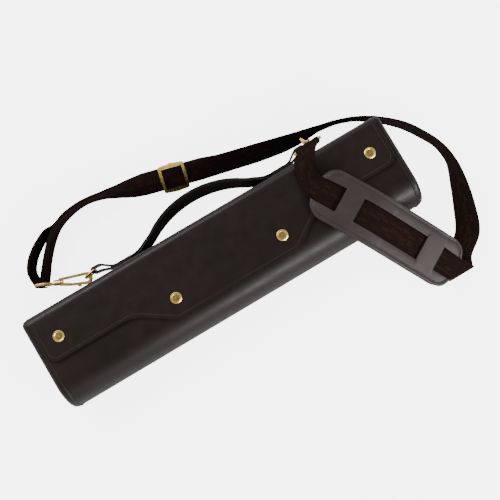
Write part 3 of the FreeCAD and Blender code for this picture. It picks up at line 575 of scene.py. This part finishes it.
def around_bar(side, way, angles, radius):
    """Stations round an eye's far bar."""
    bar = EYE_BAR[side]
    first = Vector(way)
    first = (first - bar * first.dot(bar)).normalized()
    second = bar.cross(first)
    made = []
    for angle in angles:
        swing = math.radians(angle)
        spoke = first * math.cos(swing) + second * math.sin(swing)
        made.append((GRIPS[side] + spoke * radius, bar.copy(), 1.0))
    return made


def leaning(heading, bank):
    swing, tilt = math.radians(heading), math.radians(bank)
    left = Vector((-math.sin(swing), math.cos(swing), 0))
    return left * math.cos(tilt) + Vector((0, 0, math.sin(tilt)))


EYE_WAY = (0.55, 0.83, 0)
EYE_RADIUS = 2.5
WRAP = EYE_RADIUS * 1.42 + THIN / 2 + 0.9
BUCKLE_Z = 25.0
RUN_EYE = [(-330.0, 170.0, 80.0), (-316.0, 189.0, 82.0), (-301.0, 207.0, 82.0), (-285.0, 224.0, 82.0)]
LOOP_LEFT = [(-262.0, 241.0, 84.0), (-235.0, 251.0, 86.0), (-206.0, 256.0, 88.0), (-180.0, 255.5, 88.0),
             (-150.0, 249.5, 84.0), (-117.0, 240.0, 69.0), (-92.0, 233.5, 52.0)]
BUCKLE_RUN = [(-64.0, 226.65, BUCKLE_Z, 38.0), (-4.0, 211.0, BUCKLE_Z, 38.0),
              (56.0, 195.35, BUCKLE_Z, 38.0)]
RUN_RIGHT = [(88.0, 187.0, 47.0), (118.0, 179.5, 49.0), (170.0, 167.0, 50.0), (225.0, 155.0, 58.0),
             (262.0, 149.0, 68.0), (308.0, 144.5, 85.0), (345.0, 137.5, 90.0), (382.0, 124.0, 91.0)]
LAST_ROOT = (412.0, 106.5, 89.0)
run_points = lifted(RUN_EYE) + lifted(LOOP_LEFT, 3.4) + BUCKLE_RUN
run_points += lifted(RUN_RIGHT) + lifted([LAST_ROOT])
run_stations = banked(run_points)
main_run = around_bar("left", EYE_WAY, (-90.0,), WRAP) + run_stations

RETURN_EYE = [(-354.0, 172.0, 80.0), (-352.0, 189.0, 82.0), (-338.0, 209.0, 82.0), (-320.0, 224.0, 82.0),
              (-302.0, 235.0, 83.0), (-284.0, 243.0, 84.0)]
under_run = []
for index in range(4, 12):
    centre, across, _ = run_stations[index]
    normal = (run_stations[index + 1][0] - centre).cross(across).normalized()
    under_run.append((centre - normal * 3.2, across, 1.0))
tail_centre, tail_across, _ = run_stations[12]
tail_way = (tail_centre - run_stations[11][0]).normalized()
tail_normal = tail_way.cross(tail_across).normalized()
tail = (tail_centre - tail_way * 5.0 - tail_normal * 3.2, tail_across, 1.0)
return_run = (around_bar("left", EYE_WAY, (-135.0, 180.0, 135.0, 90.0), WRAP)
              + banked(lifted(RETURN_EYE)) + under_run + [tail])

# pad-local frame: along the pad, across it, and up
PAD_LEFT, PAD_WAY = Vector((225.0, 35.0, 106.8)), Vector((0.5063, -0.8624, 0)).normalized()
PAD_SIDE = PAD_WAY.cross(Vector((0, 0, -1)))
PAD_LENGTH, PAD_HALF, PAD_ROUND = 324.0, 52.5, 34.0
BEND_AT, DROOP, BEND_RADIUS = 122.0, math.radians(16.0), 240.0
RUN_MIDDLE = 9.55 - 2.6 + 0.2 + THIN / 2


def on_pad(s, t, height):
    """Pad coordinates to the frame, level on the flap and then drooping past the case."""
    half_bend = BEND_RADIUS * math.tan(DROOP / 2)
    if s <= BEND_AT - half_bend:
        level, tilt = 0.0, 0.0
    elif s < BEND_AT + half_bend:
        tilt = DROOP * (s - BEND_AT + half_bend) / (2 * half_bend)
        level = -BEND_RADIUS * (1 - math.cos(tilt))
    else:
        tilt = DROOP
        level = -(s - BEND_AT) * math.tan(DROOP)
    place = PAD_LEFT + PAD_WAY * (s + height * math.sin(tilt)) - PAD_SIDE * -t
    return place + Vector((0, 0, level + height * math.cos(tilt)))


RUN_START, RUN_END = 8.0, PAD_LENGTH + 4.0
pad_run = [(on_pad(s, 0, RUN_MIDDLE), PAD_SIDE.copy(), 1.0)
           for s in [RUN_START + (RUN_END - RUN_START) * k / 80 for k in range(81)]]

FOLD_RUN = [
    (440.0, 83.0, 26.8, -45, 87), (463.5, 58.5, 26.8, -49, 86), (484.5, 27.0, 26.8, -60, 86),
    (503.0, -11.0, 27.2, -72, 88), (508.0, -52.5, 28.0, -94, 83), (497.5, -99.0, 29.5, -106, 64),
    (480.0, -148.5, 33.5, -112, 47), (457.0, -195.0, 39.0, -120, 30),
]
FOLD_Y, FOLD_RADIUS = -258.0, 2.6
fold_along = (PAD_LEFT.y - FOLD_Y) / -PAD_WAY.y
upper = on_pad(fold_along, 0, RUN_MIDDLE)
lower = upper - Vector((0, 0, 2 * FOLD_RADIUS))
back_way = Vector((-PAD_WAY.x, PAD_WAY.y, 0))
back_side = Vector((PAD_SIDE.x, -PAD_SIDE.y, 0))
LINE, OBLIQUE = Vector((1, 0, 0)), 1 / abs(PAD_WAY.y)
fold_run = [run_stations[-1]]
fold_run += [(Vector((x, y, z)), leaning(heading, bank), 1.0) for x, y, z, heading, bank in FOLD_RUN]
fold_run += [
    (lower - back_way * 36.0 - Vector((0, 0, 6.0)), back_side, 1.0),
    (lower - back_way * 17.0 - Vector((0, 0, 1.8)), back_side, 1.0),
    (lower, LINE, OBLIQUE),
    (lower + Vector((0, -FOLD_RADIUS * 0.72, FOLD_RADIUS * 0.3)), LINE, OBLIQUE),
    (lower + Vector((0, -FOLD_RADIUS, FOLD_RADIUS)), LINE, OBLIQUE),
    (upper + Vector((0, -FOLD_RADIUS * 0.72, -FOLD_RADIUS * 0.3)), LINE, OBLIQUE),
    (upper, LINE, OBLIQUE),
    (on_pad(RUN_END, 0, RUN_MIDDLE), PAD_SIDE.copy(), 1.0),
]
hook_run = [
    (on_pad(RUN_START, 0, RUN_MIDDLE), PAD_SIDE.copy(), 1.0),
    (on_pad(-4.0, 0, RUN_MIDDLE), PAD_SIDE.copy(), 1.0),
    (Vector((224.0, 60.0, 111.5)), Vector((0.93, 0.36, 0.0)).normalized(), 1.0),
    (Vector((227.0, 80.0, 114.0)), Vector((0.97, 0.2, 0.03)).normalized(), 1.0),
    (Vector((232.0, 92.0, 124.0)), Vector((0.97, 0.1, 0.1)).normalized(), 1.0),
    (Vector((236.5, 100.0, 142.0)), Vector((0.97, 0.05, 0.18)).normalized(), 1.0),
] + around_bar("right", (0, -0.2, -1), (-80.0, -125.0, 180.0, 125.0, 85.0, 60.0), WRAP)


def free_strap(name, stations, *cad_nodes):
    piece, path = strip(name, spline(stations), WIDTH, THIN, WEBBING, 12)
    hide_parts(*cad_nodes)
    return piece


long_strap = free_strap("strap_long_webbing", main_run, "strap_run")
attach(long_strap, "case")
back_strap = free_strap("strap_return_webbing", return_run, "strap_return")
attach(back_strap, "case")
corner_strap = free_strap("strap_corner_webbing", fold_run, "strap_fold_run")
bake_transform(corner_strap)
pad_strap = free_strap("strap_pad_webbing", pad_run[::-1] + hook_run[1:],
                       "strap_pad_run", "strap_hook_run")
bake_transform(pad_strap)

# ------------------------------------------------------------------ shoulder pad
pad_outline = rounded([(0.0, -PAD_HALF, PAD_ROUND), (PAD_LENGTH, -PAD_HALF, PAD_ROUND),
                       (PAD_LENGTH, PAD_HALF, PAD_ROUND), (0.0, PAD_HALF, PAD_ROUND)])


def edge_distance(s, t):
    """How far a pad point is from the pad's rounded outline."""
    out_s = abs(s - PAD_LENGTH / 2) - (PAD_LENGTH / 2 - PAD_ROUND)
    out_t = abs(t) - (PAD_HALF - PAD_ROUND)
    outside = math.hypot(max(out_s, 0.0), max(out_t, 0.0))
    return PAD_ROUND - outside - min(max(out_s, out_t), 0.0)


# the rim's sewn groove, the face's two bridges over the webbing, and the webbing's slot
GROOVE = 7.0
BRIDGES = ((54.0, 94.0), (239.0, 279.0))
SLOT = WIDTH / 2 + 0.4
BASE_TOP, FOAM_TOP, FACE_THICK = 2.5, 9.55, 2.5


def on_face(s, t, height):
    """The padded face: a rolled rim, a sewn groove and a soft crown inside it."""
    inward = max(edge_distance(s, t), 0.0)
    rim = 0.9 * math.sin(math.pi * min(inward / GROOVE, 1.0)) - 1.1 * math.exp(-inward)
    groove = -1.8 * math.exp(-((inward - GROOVE) / 1.3) ** 2)
    crown = 2.2 * (1 - math.exp(-max(inward - GROOVE - 2.0, 0.0) / 7.0))
    slot = 1.0
    if s < BRIDGES[0][0] or s > BRIDGES[1][1] or BRIDGES[0][1] < s < BRIDGES[1][0]:
        slot = 1 - math.exp(-max(abs(t) - SLOT, 0.0) / 5.0)
    ripple = 0.35 * noise.noise(Vector((s * 0.025, t * 0.03, 4.1)))
    relief = rim + groove + ripple + crown * slot if height > FACE_THICK / 2 else 0.0
    return on_pad(s, t, FOAM_TOP + 0.05 + height + relief)


base = plate("pad_base_leather", pad_outline, [], BASE_TOP, on_pad, PAD_LEATHER, 8.0)
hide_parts("shoulder_pad_base")
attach(base, "flap_body")
CHANNEL = 25.8
core_outline = rounded([
    (2.0, -PAD_HALF + 2.0, 32.0), (PAD_LENGTH - 2.0, -PAD_HALF + 2.0, 32.0),
    (PAD_LENGTH - 2.0, PAD_HALF - 2.0, 32.0), (2.0, PAD_HALF - 2.0, 32.0),
])
core = plate("pad_foam_core", core_outline, [], 4.3,
             lambda s, t, height: on_pad(s, t, BASE_TOP + 0.05 + height), FOAM, 8.0, 1.4)
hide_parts("shoulder_pad_foam")
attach(core, "flap_body")
for side, sign in (("near", -1), ("far", 1)):
    low, high = sorted((sign * CHANNEL, sign * (PAD_HALF - 2.0)))
    half = 24.0
    corner_low, corner_high = (half, 0) if sign < 0 else (0, half)
    cheek_outline = rounded([(2.0, low, corner_low), (PAD_LENGTH - 2.0, low, corner_low),
                             (PAD_LENGTH - 2.0, high, corner_high), (2.0, high, corner_high)])
    cheek = plate("pad_foam_" + side, cheek_outline, [], 2.75,
                  lambda s, t, height: on_pad(s, t, 6.85 + height), FOAM, 8.0, 0.8)
    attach(cheek, "flap_body")
face_outline = rounded([
    (0.0, -PAD_HALF, PAD_ROUND), (PAD_LENGTH, -PAD_HALF, PAD_ROUND), (PAD_LENGTH, -SLOT, 0),
    (BRIDGES[1][1], -SLOT, 0), (BRIDGES[1][1], SLOT, 0), (PAD_LENGTH, SLOT, 0),
    (PAD_LENGTH, PAD_HALF, PAD_ROUND), (0.0, PAD_HALF, PAD_ROUND), (0.0, SLOT, 0),
    (BRIDGES[0][0], SLOT, 0), (BRIDGES[0][0], -SLOT, 0), (0.0, -SLOT, 0),
])
window = [Vector(p) for p in ((BRIDGES[0][1], -SLOT), (BRIDGES[1][0], -SLOT), (BRIDGES[1][0], SLOT),
                              (BRIDGES[0][1], SLOT))]
face = plate("pad_face_leather", face_outline, [window], FACE_THICK, on_face, PAD_LEATHER,
             2.6, 0.4)
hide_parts("shoulder_pad_face")
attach(face, "flap_body")


def pad_seam(name, corners, closed):
    """Stitches along the pad's face."""
    points = []
    for start, end in zip(corners, corners[1:] + corners[:1] if closed else corners[1:]):
        points += [start.lerp(end, k / 8) for k in range(8)]
    if not closed:
        points.append(corners[-1])
    seam_line = [Vector(on_face(p[0], p[1], FACE_THICK)) for p in points]
    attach(stitches(name, seam_line, lambda point: (0, 0, 1), PAD_THREAD,
                     5.0, 3.6, 0.5, closed), "flap_body")


for side, sign in (("low", -1), ("high", 1)):
    pad_seam("pad_rim_stitches_" + side, rounded([
        (GROOVE, sign * (SLOT + 4.0), 0), (GROOVE, sign * (PAD_HALF - GROOVE), 19.0),
        (PAD_LENGTH - GROOVE, sign * (PAD_HALF - GROOVE), 19.0),
        (PAD_LENGTH - GROOVE, sign * (SLOT + 4.0), 0)], False), False)
WINDOW_SEAM = ((BRIDGES[0][1] - 4.0, SLOT + 4.0), (BRIDGES[1][0] + 4.0, SLOT + 4.0))
pad_seam("pad_window_stitches", rounded([
    (WINDOW_SEAM[0][0], -WINDOW_SEAM[0][1], 0), (WINDOW_SEAM[1][0], -WINDOW_SEAM[1][1], 0),
    (WINDOW_SEAM[1][0], WINDOW_SEAM[1][1], 0), (WINDOW_SEAM[0][0], WINDOW_SEAM[0][1], 0)]), True)

# ------------------------------------------------------------------ camera, light and floor
AIM = Vector((0.051, -0.0046, 0.104))
BACK = Vector((-0.0437, -0.0524, 1.0)).normalized()
ROLL = math.radians(30.6)
CAMERA_DISTANCE = 1.5
right = Vector((math.cos(ROLL), -math.sin(ROLL), 0))
right = (right - BACK * right.dot(BACK)).normalized()
up = BACK.cross(right)
camera_data = bpy.data.cameras.new("camera")
camera_data.lens = 55.24
camera_data.sensor_width = 36.0
camera = bpy.data.objects.new("camera", camera_data)
turned = Matrix((right, up, BACK)).transposed().to_4x4()
camera.matrix_world = Matrix.Translation(AIM + BACK * CAMERA_DISTANCE) @ turned
scene.collection.objects.link(camera)
scene.camera = camera

floor_mesh = bpy.data.meshes.new("floor")
FLOOR_HALF, FLOOR_Z = 9.0, -0.001
floor_corners = [(x * FLOOR_HALF, y * FLOOR_HALF, FLOOR_Z) for x, y in ((-1, -1), (1, -1), (1, 1), (-1, 1))]
floor_mesh.from_pydata(floor_corners, [], [(0, 1, 2, 3)])
floor = bpy.data.objects.new("floor", floor_mesh)
scene.collection.objects.link(floor)
floor_material, floor_nodes, floor_links, floor_shader = new_material("studio_floor")
floor_place = floor_nodes.new("ShaderNodeTexCoord").outputs["Object"]
floor_tone = noise_node(floor_nodes, floor_links, floor_place, 3.0)
floor_links.new(ramp(floor_nodes, floor_links, floor_tone, [(0.3, grey(0.93)), (0.7, grey(0.96))]),
                floor_shader.inputs["Base Color"])
floor_shader.inputs["Roughness"].default_value = 0.9
floor_shader.inputs["Emission Color"].default_value = (1.0, 1.0, 1.0, 1.0)
floor_seen = floor_nodes.new("ShaderNodeMath")
floor_seen.operation = "MULTIPLY"
floor_seen.inputs[1].default_value = 4.5
floor_links.new(floor_nodes.new("ShaderNodeLightPath").outputs["Is Camera Ray"], floor_seen.inputs[0])
floor_links.new(floor_seen.outputs[0], floor_shader.inputs["Emission Strength"])
floor_mesh.materials.append(floor_material)

world = bpy.data.worlds.new("studio")
scene.world = world
world.use_nodes = True
background = next(node for node in world.node_tree.nodes if node.type == "BACKGROUND")
world_nodes, world_links = world.node_tree.nodes, world.node_tree.links
sky_way = world_nodes.new("ShaderNodeSeparateXYZ")
world_links.new(world_nodes.new("ShaderNodeTexCoord").outputs["Generated"], sky_way.inputs[0])
world_links.new(ramp(world_nodes, world_links, sky_way.outputs["Z"],
                     [(0.5, grey(0.75)), (0.9, grey(0.2))]), background.inputs["Color"])
background.inputs["Strength"].default_value = 1.2


def softbox(name, place, target, size, power):
    data = bpy.data.lights.new(name, "AREA")
    data.shape = "RECTANGLE"
    data.size, data.size_y = size
    data.energy = power
    obj = bpy.data.objects.new(name, data)
    obj.location = place
    obj.rotation_mode = "QUATERNION"
    obj.rotation_quaternion = (Vector(target) - Vector(place)).to_track_quat("-Z", "Y")
    scene.collection.objects.link(obj)


softbox("key", (-0.7, 1.7, 1.7), (0.0, 0.0, 0.05), (2.0, 0.7), 42.0)
softbox("fill", (0.9, -1.9, 1.25), (0.0, 0.0, 0.05), (2.4, 0.4), 60.0)
